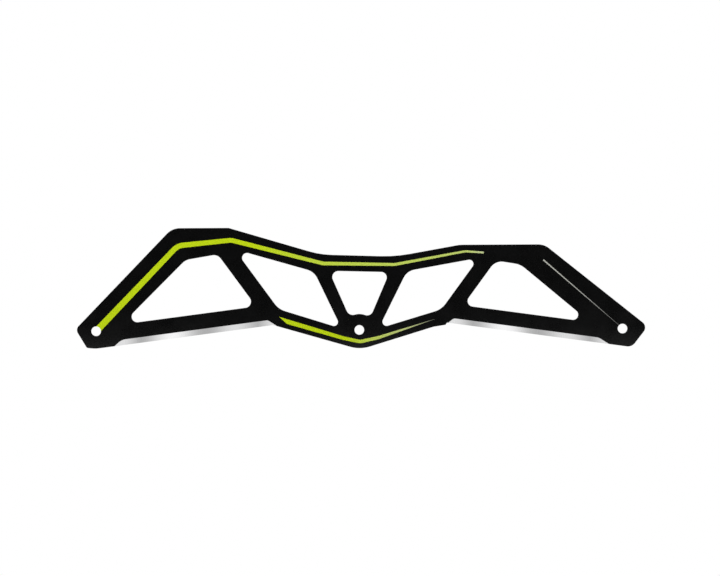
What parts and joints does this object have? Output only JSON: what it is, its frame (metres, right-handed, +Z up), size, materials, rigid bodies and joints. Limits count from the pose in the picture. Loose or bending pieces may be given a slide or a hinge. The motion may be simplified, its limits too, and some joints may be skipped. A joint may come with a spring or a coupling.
{
  "type": "inline skate frame",
  "caption": "Truss-sided inline skate frame with boot decks at heel and toe, lower cross ties and axle seats for large wheels in a row.",
  "frame": {"origin": "centre of the middle axle, midway between the plates", "axes": "+X towards the toe, +Y towards the left plate, +Z up"},
  "size_m": [0.3564, 0.0366, 0.0758],
  "materials": {
    "black_plate": "black anodised, fine satin; lower bevels cut bare and bright",
    "black_deck": "black anodised, fine milled",
    "screw_steel": "dark zinc, satin",
    "dowel_steel": "ground",
    "seat_steel": "turned",
    "lime_film": "satin print film",
    "pale_film": "satin print film"
  },
  "bodies": {
    "root": {"right_side_plate": "black_plate", "left_side_plate": "black_plate", "rear_boot_deck": "black_deck", "front_boot_deck": "black_deck", "rear_tie_tube": "black_deck", "front_tie_tube": "black_deck", "rear_deck_screws": "screw_steel", "front_deck_screws": "screw_steel", "rear_tie_screw": "screw_steel", "front_tie_screw": "screw_steel", "rear_deck_dowels": "dowel_steel", "front_deck_dowels": "dowel_steel", "rear_axle_insert": "seat_steel", "middle_axle_insert": "seat_steel", "front_axle_insert": "seat_steel", "rear_axle_bush": "seat_steel", "middle_axle_bush": "seat_steel", "front_axle_bush": "seat_steel", "right_upper_stripe": "lime_film", "right_keel_stripe": "lime_film", "right_toe_stripe": "pale_film", "left_upper_stripe": "lime_film", "left_keel_stripe": "lime_film", "left_toe_stripe": "pale_film"}
  },
  "joints": []
}
